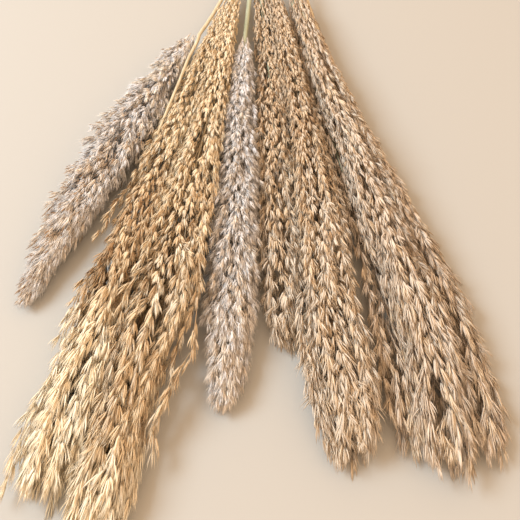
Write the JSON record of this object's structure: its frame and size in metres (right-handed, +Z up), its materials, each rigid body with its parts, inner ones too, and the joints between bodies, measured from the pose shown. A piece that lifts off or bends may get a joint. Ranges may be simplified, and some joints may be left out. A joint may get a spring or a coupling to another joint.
{
  "type": "bundle of pampas grass",
  "caption": "Tied bundle of dried pampas grass that lies flat, with feathery golden, tan and grey plumes fanned out from a band of twine, for display or flower arranging.",
  "frame": {"origin": "under the middle of the whole bundle, on the surface that it lies on", "axes": "+Z up from the surface, +Y along the bundle from the plume tips towards the cut ends, +X to the right as seen from the tips"},
  "size_m": [0.362, 0.8692, 0.0421],
  "materials": {
    "plume_gold": "matt, silky golden straw spikelets with cream tips and brown gaps",
    "plume_grey": "matt, silky cool grey spikelets with fine pale hairs and tan flecks",
    "plume_tan": "matt, silky tan spikelets that turn grey beige, with golden tips",
    "plume_straw": "matt, silky straw and beige spikelets with cream and grey streaks",
    "stem_straw": "smooth dry straw, slightly shiny",
    "stem_green": "smooth dry straw with a green cast, slightly shiny",
    "twine": "rough natural jute fibre"
  },
  "bodies": {
    "root": {"plume_grey_left": "plume_grey", "stem_grey_left": "stem_straw", "plume_gold_left": "plume_gold", "stem_gold_left": "stem_straw", "plume_gold_right": "plume_gold", "stem_gold_right": "stem_straw", "plume_grey_centre": "plume_grey", "stem_grey_centre": "stem_green", "plume_tan_inner": "plume_tan", "stem_tan_inner": "stem_green", "plume_tan_middle": "plume_tan", "stem_tan_middle": "stem_straw", "plume_straw_inner": "plume_straw", "stem_straw_inner": "stem_green", "plume_straw_main": "plume_straw", "stem_straw_main": "stem_straw", "plume_straw_outer": "plume_straw", "stem_straw_outer": "stem_straw", "twine": "twine"}
  },
  "joints": []
}
